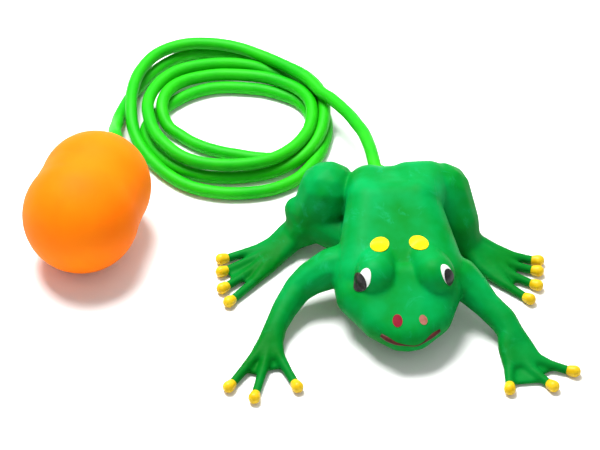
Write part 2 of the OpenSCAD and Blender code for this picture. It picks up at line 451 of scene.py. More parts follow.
def moulded_skin_group() -> bpy.types.ShaderNodeTree:
    """Build the effect of a soft moulded skin: cloudy colour, chalky rubs that are partly a painted
    highlight, shade painted darker towards the floor, and fine dimples.

    Returns:
        The node group.
    """
    group = effect_group(
        "moulded_skin",
        {
            "Base": (0.0, 0.4, 0.1, 1.0),
            "Cloud": (0.0, 0.5, 0.2, 1.0),
            "Rub": (0.4, 0.8, 0.6, 1.0),
            "Cloud Scale": 60.0,
            "Rub And Sheen Amount": 0.3,
            "Grain Scale": 900.0,
            "Roughness": 0.4,
            "Painted Floor Shade": 0.0,
        },
        {"Color": "NodeSocketColor", "Roughness": "NodeSocketFloat", "Height": "NodeSocketFloat"},
    )
    n = Nodes(group)
    give = n.add("NodeGroupInput")
    take = n.add("NodeGroupOutput")
    where = n.add("ShaderNodeTexCoord")
    cloud = n.add("ShaderNodeTexNoise", Detail=3.0, Roughness=0.55)
    n.link(where.outputs["Object"], cloud.inputs["Vector"])
    n.link(give.outputs["Cloud Scale"], cloud.inputs["Scale"])
    spread = n.add("ShaderNodeMapRange")
    spread.inputs["From Min"].default_value, spread.inputs["From Max"].default_value = CLOUD_RANGE
    n.link(cloud.outputs["Fac"], spread.inputs["Value"])
    tint = n.add("ShaderNodeMix", data_type="RGBA")
    n.link(spread.outputs["Result"], tint.inputs[0])
    n.link(give.outputs["Base"], tint.inputs[6])
    n.link(give.outputs["Cloud"], tint.inputs[7])
    # Rubs: pale patches that are partly chalky wear and, on the frog's green, partly a painted highlight
    rub = n.add("ShaderNodeTexNoise", Detail=6.0, Roughness=0.7, Distortion=0.6)
    n.link(where.outputs["Object"], rub.inputs["Vector"])
    faster = n.add("ShaderNodeMath", operation="MULTIPLY")
    faster.inputs[1].default_value = RUB_AND_SHEEN_FINENESS
    n.link(give.outputs["Cloud Scale"], faster.inputs[0])
    n.link(faster.outputs[0], rub.inputs["Scale"])
    patch = n.add("ShaderNodeMapRange")
    patch.inputs["From Min"].default_value, patch.inputs["From Max"].default_value = RUB_AND_SHEEN_RANGE
    n.link(rub.outputs["Fac"], patch.inputs["Value"])
    share = n.add("ShaderNodeMath", operation="MULTIPLY")
    n.link(patch.outputs["Result"], share.inputs[0])
    n.link(give.outputs["Rub And Sheen Amount"], share.inputs[1])
    rub_and_sheen_mix = n.add("ShaderNodeMix", data_type="RGBA")
    n.link(share.outputs[0], rub_and_sheen_mix.inputs[0])
    n.link(tint.outputs[2], rub_and_sheen_mix.inputs[6])
    n.link(give.outputs["Rub"], rub_and_sheen_mix.inputs[7])
    axes = n.add("ShaderNodeSeparateXYZ")
    n.link(where.outputs["Object"], axes.inputs[0])
    # Painted shade: the colour is multiplied darker towards the floor, where the lower parts lie in shade
    low = n.add("ShaderNodeMapRange")
    low.inputs["From Min"].default_value = PAINTED_SHADE_RANGE[0] * MM
    low.inputs["From Max"].default_value = PAINTED_SHADE_RANGE[1] * MM
    low.inputs["To Max"].default_value = 0
    n.link(axes.outputs["Z"], low.inputs["Value"])
    n.link(give.outputs["Painted Floor Shade"], low.inputs["To Min"])
    shaded = n.add("ShaderNodeMix", data_type="RGBA", blend_type="MULTIPLY")
    shaded.inputs[7].default_value = PAINTED_SHADE_TINT
    n.link(low.outputs["Result"], shaded.inputs[0])
    n.link(rub_and_sheen_mix.outputs[2], shaded.inputs[6])
    n.link(shaded.outputs[2], take.inputs["Color"])
    dull = n.add("ShaderNodeMath", operation="MULTIPLY_ADD")
    dull.inputs[1].default_value = RUB_AND_SHEEN_DULLS
    n.link(share.outputs[0], dull.inputs[0])
    n.link(give.outputs["Roughness"], dull.inputs[2])
    n.link(dull.outputs[0], take.inputs["Roughness"])
    grain = n.add("ShaderNodeTexNoise", Detail=2.0)
    n.link(where.outputs["Object"], grain.inputs["Vector"])
    n.link(give.outputs["Grain Scale"], grain.inputs["Scale"])
    dimple = n.add("ShaderNodeTexNoise", Detail=2.0, Scale=DIMPLE_SCALE)
    n.link(where.outputs["Object"], dimple.inputs["Vector"])
    height = n.add("ShaderNodeMath", operation="MULTIPLY_ADD")
    height.inputs[1].default_value = GRAIN_SHARE
    n.link(grain.outputs["Fac"], height.inputs[0])
    n.link(dimple.outputs["Fac"], height.inputs[2])
    n.link(height.outputs[0], take.inputs["Height"])
    return group


# --- Finishes ---


@dataclass(frozen=True)
class MouldedFinish:
    """A soft moulded finish in linear colours. Its low shade is painted shade that darkens it towards the
    floor.
    """

    name: str
    base: tuple[float, float, float]
    cloud: tuple[float, float, float]
    rub: tuple[float, float, float]
    cloud_scale: float = 60.0
    rub_amount: float = 0.2
    grain_scale: float = 900.0
    roughness: float = 0.4
    bump: float = 0.15
    depth: float = 0.2
    coat: float = 0.0
    coat_roughness: float = 0.25
    glow: float = 0.0
    glow_depth: float = 2.0
    glow_colour: tuple[float, float, float] = (1.0, 1.0, 0.4)
    specular: float = 0.3
    low_shade: float = 0.0

    def build(self, group: bpy.types.ShaderNodeTree) -> bpy.types.Material:
        """Build the material.

        Args:
            group: The moulded skin effect.

        Returns:
            The material.
        """
        material = bpy.data.materials.new(self.name)
        material.use_nodes = True
        n = Nodes(material.node_tree)
        shader = material.node_tree.nodes["Principled BSDF"]
        shader.inputs["Specular IOR Level"].default_value = self.specular
        shader.inputs["Coat Weight"].default_value = self.coat
        shader.inputs["Coat Roughness"].default_value = self.coat_roughness
        shader.inputs["Subsurface Weight"].default_value = self.glow
        shader.inputs["Subsurface Scale"].default_value = self.glow_depth * MM
        shader.inputs["Subsurface Radius"].default_value = self.glow_colour
        skin = n.add("ShaderNodeGroup", node_tree=group)
        skin.inputs["Base"].default_value = (*self.base, 1)
        skin.inputs["Cloud"].default_value = (*self.cloud, 1)
        skin.inputs["Rub"].default_value = (*self.rub, 1)
        skin.inputs["Cloud Scale"].default_value = self.cloud_scale
        skin.inputs["Rub And Sheen Amount"].default_value = self.rub_amount
        skin.inputs["Grain Scale"].default_value = self.grain_scale
        skin.inputs["Roughness"].default_value = self.roughness
        skin.inputs["Painted Floor Shade"].default_value = self.low_shade
        bump = n.add("ShaderNodeBump", Strength=self.bump, Distance=self.depth * MM)
        n.link(skin.outputs["Height"], bump.inputs["Height"])
        n.link(skin.outputs["Color"], shader.inputs["Base Color"])
        n.link(skin.outputs["Roughness"], shader.inputs["Roughness"])
        n.link(bump.outputs["Normal"], shader.inputs["Normal"])
        return material


FROG_GREEN = MouldedFinish(
    # The frog's pale bluish rub colour is partly chalky wear and partly a painted highlight in place of a
    # sheen
    "frog_vinyl", (0.0, 0.21, 0.02), (0.0, 0.3, 0.065), (0.02, 0.42, 0.2),
    # The frog's low shade is painted shade on its feet and lower parts
    cloud_scale=60, rub_amount=0.45, roughness=0.5, bump=0.25, depth=0.2, specular=0.04, low_shade=0.8,
)
BELLY_GREEN = MouldedFinish(
    "belly_vinyl", (0.0, 0.2, 0.03), (0.0, 0.26, 0.05), (0.06, 0.4, 0.18), roughness=0.5, specular=0.1,
)
TOE_YELLOW = MouldedFinish(
    "toe_dip", (0.6, 0.37, 0.0), (0.7, 0.48, 0.01), (0.3, 0.12, 0.005),
    cloud_scale=420, rub_amount=0.55, roughness=0.4, specular=0.2,
)
SPOT_YELLOW = MouldedFinish(
    "spot_paint", (0.8, 0.56, 0.0), (0.84, 0.66, 0.0), (0.8, 0.76, 0.16),
    cloud_scale=240, rub_amount=0.4, roughness=0.4, specular=0.1,
)
EYE_WHITE = MouldedFinish(
    "eye_white", (0.82, 0.84, 0.8), (0.76, 0.8, 0.76), (0.6, 0.7, 0.62),
    cloud_scale=200, rub_amount=0.2, roughness=0.3,
)
PUPIL_BLACK = MouldedFinish(
    "pupil_black", (0.008, 0.008, 0.008), (0.03, 0.03, 0.028), (0.34, 0.33, 0.31),
    cloud_scale=420, rub_amount=0.4, roughness=0.3, bump=0.3, specular=0.2,
)
MOUTH_RED = MouldedFinish(
    "mouth_red", (0.04, 0.009, 0.006), (0.08, 0.014, 0.012), (0.2, 0.1, 0.07),
    cloud_scale=300, rub_amount=0.4, roughness=0.4, specular=0.15,
)
NOSTRIL_RED = MouldedFinish(
    "nostril_red", (0.19, 0.003, 0.014), (0.26, 0.007, 0.024), (0.36, 0.09, 0.08),
    cloud_scale=300, rub_amount=0.35, roughness=0.35, specular=0.15,
)
NOSTRIL_PINK = MouldedFinish(
    "nostril_pink", (0.28, 0.08, 0.06), (0.38, 0.15, 0.11), (0.46, 0.25, 0.19),
    cloud_scale=300, rub_amount=0.4, roughness=0.4,
)
TUBE_GREEN = MouldedFinish(
    "tube_green", (0.0, 0.36, 0.0), (0.012, 0.44, 0.0), (0.07, 0.54, 0.02),
    cloud_scale=40, rub_amount=0.12, grain_scale=700, roughness=0.55, bump=0.05, depth=0.1, glow=0.2,
    specular=0.2,
)
BULB_ORANGE = MouldedFinish(
    "bulb_orange", (0.92, 0.16, 0.0), (0.94, 0.2, 0.0), (0.96, 0.26, 0.005),
    cloud_scale=35, rub_amount=0.25, grain_scale=1600, roughness=0.62, bump=0.2, depth=0.12, glow=0.12,
    specular=0.08,
)
FITTING_IVORY = MouldedFinish(
    "fitting_ivory", (0.7, 0.66, 0.52), (0.74, 0.7, 0.58), (0.6, 0.56, 0.44), roughness=0.45,
)
BLADDER_GREEN = MouldedFinish(
    "bladder_rubber", (0.01, 0.13, 0.04), (0.014, 0.17, 0.055), (0.08, 0.26, 0.14),
    cloud_scale=110, rub_amount=0.5, roughness=0.55, bump=0.3,
)
SOLE_GREY = MouldedFinish(
    "sole_rubber", (0.02, 0.022, 0.02), (0.03, 0.033, 0.03), (0.1, 0.1, 0.095),
    cloud_scale=150, rub_amount=0.5, roughness=0.7, bump=0.4,
)


class Paints:
    """Builds each finish once and hands it out."""

    def __init__(self) -> None:
        """Build the shared effect."""
        self.group = moulded_skin_group()
        self.made: dict[str, bpy.types.Material] = {}

    def get(self, finish: MouldedFinish) -> bpy.types.Material:
        """Hand out the material of a finish, built the first time.

        Args:
            finish: The finish.

        Returns:
            Its material.
        """
        if finish.name not in self.made:
            self.made[finish.name] = finish.build(self.group)
        return self.made[finish.name]


# --- Studio ---


@dataclass
class Studio:
    """The camera, the floor and the light. Lengths are in millimetres, angles in degrees."""

    azimuth: float = -5
    elevation: float = 44
    distance: float = 850
    lens: float = 150
    aim: Point = (-31.5, 19.8, 17.6)
    floor_half: float = 3000
    paper: tuple[float, float, float, float] = (0.93, 0.93, 0.93, 1)
    paper_roughness: float = 0.9
    surround: float = 0.42
    # Name, place, power in watts and side of each soft light
    lights: tuple[tuple[str, Point, float, float], ...] = (
        ("key_light", (-200, 330, 850), 17.0, 420),
        ("fill_light", (500, -700, 600), 1.2, 900),
        ("rear_light", (350, 800, 700), 2.0, 900),
    )

    def place_camera(self) -> None:
        """Add the camera and make it the scene's own."""
        turn = math.radians(self.azimuth)
        rise = math.radians(self.elevation)
        back = Vector((math.sin(turn) * math.cos(rise), -math.cos(turn) * math.cos(rise), math.sin(rise)))
        deselect()
        bpy.ops.object.camera_add()
        camera = bpy.context.object
        camera.name = "camera"
        camera.location = (Vector(self.aim) + back * self.distance) * MM
        camera.rotation_euler = Euler((math.pi / 2 - rise, 0, turn))
        camera.data.lens = self.lens
        camera.data.clip_start = 0.01
        camera.data.clip_end = 20
        bpy.context.scene.camera = camera

    def lay_floor(self) -> None:
        """Add the pale floor."""
        deselect()
        bpy.ops.mesh.primitive_plane_add(size=2 * self.floor_half * MM)
        floor = bpy.context.object
        floor.name = "studio_floor"
        material = bpy.data.materials.new("studio_paper")
        material.use_nodes = True
        shader = material.node_tree.nodes["Principled BSDF"]
        shader.inputs["Base Color"].default_value = self.paper
        shader.inputs["Roughness"].default_value = self.paper_roughness
        floor.data.materials.append(material)

    def hang_light(self, name: str, place: Point, power: float, size: float) -> None:
        """Add one soft square light that faces the object.

        Args:
            name: Name of the light.
            place: Where it hangs, in millimetres.
            power: Its power in watts.
            size: Its side in millimetres.
        """
        deselect()
        bpy.ops.object.light_add(type="AREA")
        light = bpy.context.object
        light.name = name
        light.data.energy = power
        light.data.size = size * MM
        light.location = Vector(place) * MM
        towards = Vector(self.aim) - Vector(place)
        light.rotation_euler = towards.to_track_quat("-Z", "Y").to_euler()

    def light_up(self) -> None:
        """Add the lights and the pale surroundings."""
        for light in self.lights:
            self.hang_light(*light)
        world = bpy.data.worlds.new("studio")
        bpy.context.scene.world = world
        world.use_nodes = True
        sky = world.node_tree.nodes["Background"]
        sky.inputs["Color"].default_value = (1, 1, 1, 1)
        sky.inputs["Strength"].default_value = self.surround
        bpy.context.scene.view_settings.view_transform = "Standard"

    def build(self) -> None:
        """Set up the whole studio."""
        self.place_camera()
        self.lay_floor()
        self.light_up()


# --- Air tube ---


def curve_through(points: list[Vector], steps: int) -> list[Vector]:
    """Run one smooth line through points.

    Args:
        points: The points.
        steps: Places on the line for each stretch between two points.

    Returns:
        The places on the line, its ends included.
    """
    ends = [2 * points[0] - points[1], *points, 2 * points[-1] - points[-2]]
    line = []
    for a, b, c, d in zip(ends, ends[1:], ends[2:], ends[3:]):
        for i in range(steps):
            t = i / steps
            square, cube = 2 * a - 5 * b + 4 * c - d, 3 * b - a - 3 * c + d
            line.append(0.5 * (2 * b + (c - a) * t + square * t**2 + cube * t**3))
    return [*line, points[-1].copy()]


def pipe(name: str, route: list[Vector], radii: list[float], fineness: int) -> bpy.types.Object:
    """Run a round pipe with closed ends along a route.

    Args:
        name: Name of the pipe.
        route: Places on its middle line, in metres.
        radii: Its radius at each place, in millimetres.
        fineness: How finely its round section is divided.

    Returns:
        The pipe.
    """
    data = bpy.data.curves.new(name, "CURVE")
    data.dimensions = "3D"
    data.bevel_depth = MM
    data.bevel_resolution = fineness
    data.use_fill_caps = True
    spline = data.splines.new("POLY")
    spline.points.add(len(route) - 1)
    for place, point, radius in zip(spline.points, route, radii):
        place.co = (*point, 1)
        place.radius = radius
    made = bpy.data.objects.new(name, data)
    bpy.context.collection.objects.link(made)
    pick(made)
    bpy.ops.object.convert(target="MESH")
    return bpy.context.object


@dataclass
class AirTube:
    """The soft tube from the rump, round its loose coil and into the bulb's neck. Millimetres."""

    diameter: float = 4.5
    clear: float = 4.56
    middle: tuple[float, float] = (-51, 92)
    per_turn: int = 24
    turn_steps: int = 12
    route_steps: int = 5
    fineness: int = 5
    held: int = 4
    near: int = 4
    push: float = 0.4
    ease: float = 0.3
    neck_end: Point = (-92.05, 64.05, 19.6)
    still_from: Point = (-26, 52.4, 0)
    follows_from: Point = (-3.5, 41.5, 0)
    rump_route: list[Point] = field(
        default_factory=lambda: [
            (-3.5, 38.1, 22.5), (-3.7, 43.8, 22.5), (-4.1, 51.9, 21.6), (-5.2, 62.4, 19.3),
            (-6.9, 69.9, 17.2), (-8.6, 76.8, 15.2), (-11.2, 83.6, 13.5), (-13.9, 89.6, 12.1),
        ]
    )
    bulb_route: list[Point] = field(
        default_factory=lambda: [
            (-90.9, 97.4, 3), (-91.8, 91.5, 5), (-92.4, 86, 8), (-92.7, 80.5, 11.6), (-92.6, 75, 15.3),
            (-92.2, 69.5, 18.4),
        ]
    )
    # Angle in degrees, distance from the middle and height, along the loose turns
    turns: list[Point] = field(
        default_factory=lambda: [
            (5, 34, 10.9), (31, 31.2, 9.4), (54, 31.2, 8.2), (69, 33.2, 7.6), (86, 36.8, 7.2), (99, 39.7, 7),
            (109, 41.6, 7), (119, 42.5, 7), (132, 41.4, 7), (146, 38.8, 6.9), (165, 35.6, 6.9),
            (180, 34.7, 5.6), (195, 33.9, 4), (220, 34, 2.6), (240, 36, 2.25), (256, 37.1, 2.25),
            (270, 37.8, 2.25), (286, 38.9, 2.25), (301, 39.4, 2.25), (330, 36.8, 2.25), (360, 35.4, 2.25),
            (386, 32.6, 2.8), (410, 30.2, 4.2), (428, 28.8, 5.6), (446, 28, 6.4), (465, 28, 7),
            (479, 29.2, 7.2), (496, 29.6, 7.5), (513, 29.5, 8), (536, 29.2, 8.5), (547, 28.8, 8.5),
            (561, 28.9, 8), (574, 28.9, 7.7), (586, 29, 7.2), (596, 29.3, 7), (613, 29.2, 7), (629, 29.2, 7),
            (645, 30, 6.9), (659, 30.8, 6.8), (675, 31.3, 6.8), (692, 31.6, 6.9), (720, 30.8, 6.9),
            (739, 29, 5.8), (760, 25.8, 5), (794, 22.9, 4.5), (828, 23.9, 4.7), (851, 25.6, 5.4),
            (868, 25.8, 6.3), (884, 25.2, 6.1), (897, 24, 4.6), (908, 22, 3), (926, 18.3, 2.25),
            (962, 16.5, 2.25), (994, 18.2, 2.25), (1012, 22, 2.25), (1030, 27.2, 2.25), (1050, 30, 2.25),
            (1075, 30, 2.25), (1095, 28.3, 2.25), (1115, 23.9, 2.25), (1152, 19.1, 2.25), (1193, 19.8, 2.25),
            (1221, 22.3, 2.25), (1237, 24.8, 2.25), (1250, 28, 2.25), (1262, 31.4, 2.25), (1290, 32.3, 2.25),
            (1314, 32.1, 2.25), (1333, 31.3, 2.25), (1349, 30.8, 2.25), (1371, 31.5, 2.3), (1387, 32.7, 3.2),
            (1404, 33.6, 4.6), (1436, 33.2, 6.7), (1458, 33.8, 5.8), (1480, 34.4, 4.2), (1505, 35, 2.8),
            (1526, 37.2, 2.25), (1536, 39, 2.25), (1546, 40.6, 2.25), (1557, 40.9, 2.25), (1572, 39.6, 2.4),
            (1586, 38.8, 2.5), (1606, 39.4, 2.3),
        ]
    )

    def coil(self) -> list[Vector]:
        """Work out the coil's turns.

        Returns:
            Points along the turns.
        """
        knots = curve_through([Vector(k) for k in self.turns], self.turn_steps)
        step = 360 / self.per_turn
        points = []
        wanted = self.turns[0][0]
        for a, b in zip(knots, knots[1:]):
            while wanted <= b.x:
                k = a.lerp(b, (wanted - a.x) / (b.x - a.x))
                turn = math.radians(wanted)
                x = self.middle[0] + k.y * math.cos(turn)
                y = self.middle[1] + k.y * math.sin(turn)
                points.append(Vector((x, y, k.z)))
                wanted += step
        return points

    def untangled(self, points: list[Vector], rounds: int = 160) -> list[Vector]:
        """Push crossing turns a diameter apart and keep them on the floor.

        Args:
            points: The whole route. The `held` points at each end stay in place.
            rounds: How often every pair is looked at.

        Returns:
            The route with its turns beside and on each other.
        """
        line = [p.copy() for p in points]
        floor = self.diameter / 2
        for _ in range(rounds):
            for i in range(self.held, len(line) - self.held):
                for j in range(i + self.near, len(line) - self.held):
                    gap = line[j] - line[i]
                    if gap.length < self.clear:
                        push = gap.normalized() * (self.clear - gap.length) * self.push
                        line[i] -= push
                        line[j] += push
            moved = [b - a for a, b in zip(points, line)]
            for i in range(self.held, len(line) - self.held):
                eased = moved[i].lerp((moved[i - 1] + moved[i + 1]) / 2, self.ease)
                line[i] = points[i] + eased
                line[i].z = max(line[i].z, floor)
        return line

    def route(self) -> list[Vector]:
        """Work out the tube's middle line.

        Returns:
            Places on the line, in metres.
        """
        points = [Vector(p) for p in self.rump_route] + self.coil()
        points += [Vector(p) for p in (*self.bulb_route, self.neck_end)]
        line = curve_through(self.untangled(points), self.route_steps)
        return [p * MM for p in line]

    def build(self, paints: Paints) -> None:
        """Args:
            paints: The finishes.
        """
        line = self.route()
        tube = pipe("air_tube", line, [self.diameter / 2] * len(line), self.fineness)
        smooth(tube)
        dress(tube, paints.get(TUBE_GREEN), "tube_green")
        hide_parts("tube_lead_frog", "tube_coil", "tube_lead_bulb")
        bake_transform(tube)


# --- Squeeze bulb ---


@dataclass
class SqueezeBulb:
    """The soft orange bulb, as one skin over its two halves. Millimetres."""

    front: Ball = (-105.5, 29, 19.7, 20)
    rear_r: float = 19.25
    lobe_gap: float = 15
    turn: float = -21
    dip: float = 0.35
    keep: float = 0.65
    voxel: float = 0.6
    rounds: int = 30
    # Way past the rear lobe and radius at both ends of the boss round the neck
    boss: tuple[tuple[float, float], ...] = ((12, 6.2), (15.2, 4.1))

    def along(self, distance: float, radius: float) -> Ball:
        """Find a ball on the bulb's axis.

        Args:
            distance: Distance from the front lobe's middle.
            radius: The ball's radius.

        Returns:
            The ball.
        """
        turn = math.radians(self.turn)
        x, y, z, _ = self.front
        return (x - distance * math.sin(turn), y + distance * math.cos(turn), z, radius)

    def build(self, paints: Paints) -> None:
        """Make the bulb's skin and let it ride with the air line.

        Args:
            paints: The finishes.
        """
        front, rear = self.front, self.along(self.lobe_gap, self.rear_r)
        waist = hull([(*lobe[:3], lobe[3] - self.dip) for lobe in (front, rear)], 5)
        boss = hull([self.along(self.lobe_gap + way, radius) for way, radius in self.boss], 4)
        skin = join([ball(front, 5), ball(rear, 5), waist, boss], "bulb_skin")
        remesh(skin, self.voxel, self.rounds)
        smooth(skin, 80)
        dress(skin, paints.get(BULB_ORANGE), "bulb_orange", "air_line")
        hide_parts("bulb_thumb_half", "bulb_finger_half")
        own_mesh(skin)
        log.info("bulb skin has %d faces", len(skin.data.polygons))


# --- Frog ---


@dataclass
class Leg:
    """One leg: its muscle, its flat foot, its toes and their webs. Millimetres.

    The flat of the foot is a row of bands: a middle, a thickness and the way from the middle to the last
    toe's side. Shares run from 0 at the root to 1 at the tip.
    """

    name: str
    side: Side
    muscle: list[Ball]
    bands: list[tuple[float, float, float, float, float, float]]
    tips: list[tuple[float, float]]
    gaps: list[tuple[float, float]]
    toe_r: float = 1.55
    tip_r: float = 2.0
    web_r: float = 0.85
    tendon_r: float = 1.5
    knuckle_share: float = 0.45
    knuckle_swell: float = 1.1
    ridge_share: float = 0.35
    ridge_lift: float = 1.2
    tendon_sink: float = 0.8
    web_z: float = 1.5
    edge_z: float = 1.2
    dip_length: float = 1.5
    dip_z: float = 1.8
    dip_taper: float = 0.9
    dip_vary: float = 0.03

    def sides(self, band: tuple[float, ...]) -> list[Ball]:
        """Find the balls at both sides of a band.

        Args:
            band: Middle, thickness and way to the last toe's side.

        Returns:
            The ball on the first toe's side, then the one on the last toe's side.
        """
        x, y, z, r, wide, deep = band
        return [(x + k * wide, y + k * deep, z, r) for k in (-1, 1)]

    def roots(self) -> list[Ball]:
        """Find where each toe leaves the foot.

        Returns:
            One ball for each toe.
        """
        x, y, z, r, wide, deep = self.bands[-1]
        last = len(self.tips) - 1
        return [(x + k * wide, y + k * deep, z, r) for k in (2 * i / last - 1 for i in range(last + 1))]

    def toe_ends(self) -> list[Ball]:
        """Return the ball at the end of each toe."""
        return [(x, y, self.tip_r, self.tip_r) for x, y in self.tips]

    def forms(self) -> list[bpy.types.Object]:
        """Model the leg's muscle, foot, toes and webs.

        Returns:
            Their convex forms.
        """
        made = limb(self.muscle)
        rows = [[self.muscle[-1]], *[self.sides(band) for band in self.bands]]
        made += [hull(a + b, 2) for a, b in zip(rows, rows[1:])]
        wrist, heel = self.bands[0], self.bands[-2]
        for root, end in zip(self.roots(), self.toe_ends()):
            toe = (*end[:2], self.toe_r, self.toe_r)
            knuckle = between(root, toe, self.knuckle_share, self.toe_r * self.knuckle_swell)
            made.append(hull([root, knuckle], 2))
            made.append(hull([knuckle, toe], 2))
            x, y, z, _ = between(heel, root, self.ridge_share, self.tendon_r)
            ridge = (x, y, z + self.ridge_lift, self.tendon_r)
            lift = (*wrist[:2], wrist[2] + wrist[3] - self.tendon_r * self.tendon_sink, self.tendon_r)
            made.append(hull([lift, ridge], 2))
            made.append(hull([ridge, (*knuckle[:2], self.tip_r, self.tendon_r)], 2))
        flat = [(*root[:2], self.web_z, self.edge_z) for root in self.roots()]
        ends = self.toe_ends()
        for i, gap in enumerate(self.gaps):
            start, far = between(flat[i], flat[i + 1], 0.5, 1), between(ends[i], ends[i + 1], 0.5, 1)
            share = math.dist(start[:2], gap) / math.dist(start[:2], far[:2])
            edge = [(*between(flat[j], ends[j], share, 1)[:2], self.edge_z, self.web_r) for j in (i, i + 1)]
            made.append(hull([flat[i], flat[i + 1], *edge], 2))
        return made

    def tip_forms(self) -> list[bpy.types.Object]:
        """Model the dipped end of each toe.

        Returns:
            One convex form for each toe.
        """
        made = []
        for i, (root, end) in enumerate(zip(self.roots(), self.toe_ends())):
            share = self.dip_length / math.dist(end[:2], root[:2])
            back = between(end, root, share, self.tip_r * (self.dip_taper - self.dip_vary * (i % 2)))
            made.append(hull([end, (*back[:2], self.dip_z, back[3])], 4))
        return made


def between(a: Ball, b: Ball, share: float, radius: float) -> Ball:
    """Find a ball part of the way from one to the next.

    Args:
        a: The first ball.
        b: The next ball.
        share: How far along, from 0 to 1.
        radius: The new ball's radius.

    Returns:
        The new ball.
    """
    return (*[p + (q - p) * share for p, q in zip(a[:3], b[:3])], radius)


def standard_legs() -> list[Leg]:
    """Return the frog's four legs as it stands."""
    return [
        Leg(
            "front_leg_left", Side.LEFT,
            [(-13, 2, 15, 8.6), (-22.5, 1.8, 14, 7.1), (-29, 0.2, 11.8, 6), (-34, -2.3, 9.4, 5),
             (-39, -8.6, 7, 4.4), (-42.7, -15.2, 5.2, 3.9)],
            [(-44.8, -20.6, 3.8, 3, 1.4, -0.3), (-46.4, -26, 2.6, 2.1, 3.9, -0.4)],
            [(-60, -38), (-52, -43.5), (-37.5, -40)],
            [(-51.7, -31.3), (-44.2, -30.2)],
        ),
        Leg(
            "front_leg_right", Side.RIGHT,
            [(12, -4, 15, 8.6), (19.5, -6, 13.4, 7.3), (23.2, -8.8, 11.8, 6.1), (28, -15.1, 9.2, 4.8),
             (32.8, -20.6, 7, 4.8), (34.8, -25, 5.3, 4.5)],
            [(35.7, -30, 3.9, 3, -3, -0.8), (37.6, -36.6, 2.5, 2, -5, -0.6)],
            [(54, -41), (46, -47), (31.5, -47)],
            [(43.6, -40.5), (38.7, -43.1)],
        ),
        Leg(
            "hind_leg_left", Side.LEFT,
            [(-15.5, 21, 8.5, 6), (-26, 29.6, 10, 7.2), (-20.5, 33.5, 20, 10.5), (-26, 30.5, 12, 7.8),
             (-31, 33.2, 12, 5), (-28.2, 28.6, 8, 6.6)],
            [(-33.6, 28.1, 4.8, 3.6, 0.8, -2.3), (-39.1, 23.4, 3.3, 2.6, 1.3, -2.9),
             (-43.8, 20.2, 2.4, 1.9, 2, -4.6)],
            [(-58.6, 21.5), (-59, 15.3), (-59.2, 7.3), (-57.4, 0.7)],
            [(-49.6, 21), (-55.3, 13.3), (-49.7, 9.6)],
        ),
        Leg(
            "hind_leg_right", Side.RIGHT,
            [(18.2, 30, 19.6, 10.3), (22.9, 22.5, 11, 8.1), (24, 20, 7.6, 6.6)],
            [(27.7, 17.2, 4.8, 3.6, -1.2, -1.9), (32.5, 12.7, 3.1, 2.5, -2.8, -4),
             (37.6, 8.7, 2.4, 1.9, -3.7, -5)],
            [(50.2, 11.2), (49.3, 6.2), (48, -0.6), (44.4, -6.9)],
            [(42.5, 12.7), (41, 7.2), (39.5, 1.6)],
        ),
    ]


@dataclass(frozen=True)
class PaintSpot:
    """A film of paint that stands `thick` above the skin and as deep in it. Millimetres and degrees."""

    name: str
    finish: MouldedFinish
    middle: Point
    facing: Point
    wide: float
    high: float
    turn: float = 0
    thick: float = 0.16
    sides: int = 56
    cuts: int = 4
    lift: float = 4
    reach: float = 12
    eased: int = 2

    def lay(self, skin: bpy.types.Object, paints: Paints) -> None:
        """Press the film on the skin and dress it.

        Args:
            skin: The painted skin.
            paints: The finishes.
        """
        deselect()
        towards = Vector(self.facing).normalized()
        bpy.ops.mesh.primitive_circle_add(vertices=self.sides, radius=1, fill_type="TRIFAN")
        film = bpy.context.object
        film.name = self.name
        bpy.ops.object.mode_set(mode="EDIT")
        for _ in range(self.cuts):
            bpy.ops.mesh.subdivide(number_cuts=1)
        bpy.ops.object.mode_set(mode="OBJECT")
        film.scale = (self.wide / 2 * MM, self.high / 2 * MM, 1)
        settle(film)
        lie = towards.to_track_quat("Z", "Y").to_matrix() @ Matrix.Rotation(math.radians(self.turn), 3, "Z")
        film.rotation_euler = lie.to_euler()
        film.location = (Vector(self.middle) + towards * self.lift) * MM
        press = film.modifiers.new("press", "SHRINKWRAP")
        press.target = skin
        press.wrap_method = "PROJECT"
        press.use_project_z = True
        press.use_negative_direction = True
        press.use_positive_direction = False
        press.project_limit = self.reach * MM
        apply_all(film)
        settle(film)
        ease = film.modifiers.new("ease", "SMOOTH")
        ease.iterations = self.eased
        coat = film.modifiers.new("coat", "SOLIDIFY")
        coat.thickness = 2 * self.thick * MM
        coat.offset = 0
        apply_all(film)
        smooth(film, 70)
        dress(film, paints.get(self.finish), "frog_green", "frog")


@dataclass
class Mouth:
    """The painted mouth line in its shallow groove. Millimetres."""

    steps: int = 8
    inset: float = 0.04
    fineness: int = 3
    points: list[Point] = field(
        default_factory=lambda: [
            (-9.2, -29.6, 13), (-7.6, -31.4, 12.6), (-5.4, -32.9, 12.2), (-1.8, -33.6, 11.5),
            (1.6, -33.6, 10.8), (4.2, -33.3, 11.6), (6, -32.5, 12.2), (8, -31.2, 12.6), (10.4, -28.8, 12.6),
        ]
    )
    half_widths: list[float] = field(default_factory=lambda: [0.85, 1.05, 0.8, 0.48, 0.42, 0.48, 0.7, 1, 0.8])
    sink: float = 0.3

    def cut_and_paint(self, skin: bpy.types.Object, paints: Paints) -> None:
        """Press the groove in the skin and lay the paint in it.

        Args:
            skin: The body's skin.
            paints: The finishes.
        """
        on_skin = []
        for point in curve_through([Vector(p) for p in self.points], self.steps):
            _, place, normal, _ = skin.closest_point_on_mesh(point * MM)
            on_skin.append(place - normal * self.sink * MM)
        widths = [w.x for w in curve_through([Vector((w, 0, 0)) for w in self.half_widths], self.steps)]
        groove = pipe("mouth_groove", on_skin, widths, self.fineness)
        paint = pipe("mouth_line", on_skin, [w - self.inset for w in widths], self.fineness)
        cut_away(skin, groove)
        smooth(paint, 60)
        dress(paint, paints.get(MOUTH_RED), "frog_green", "frog")


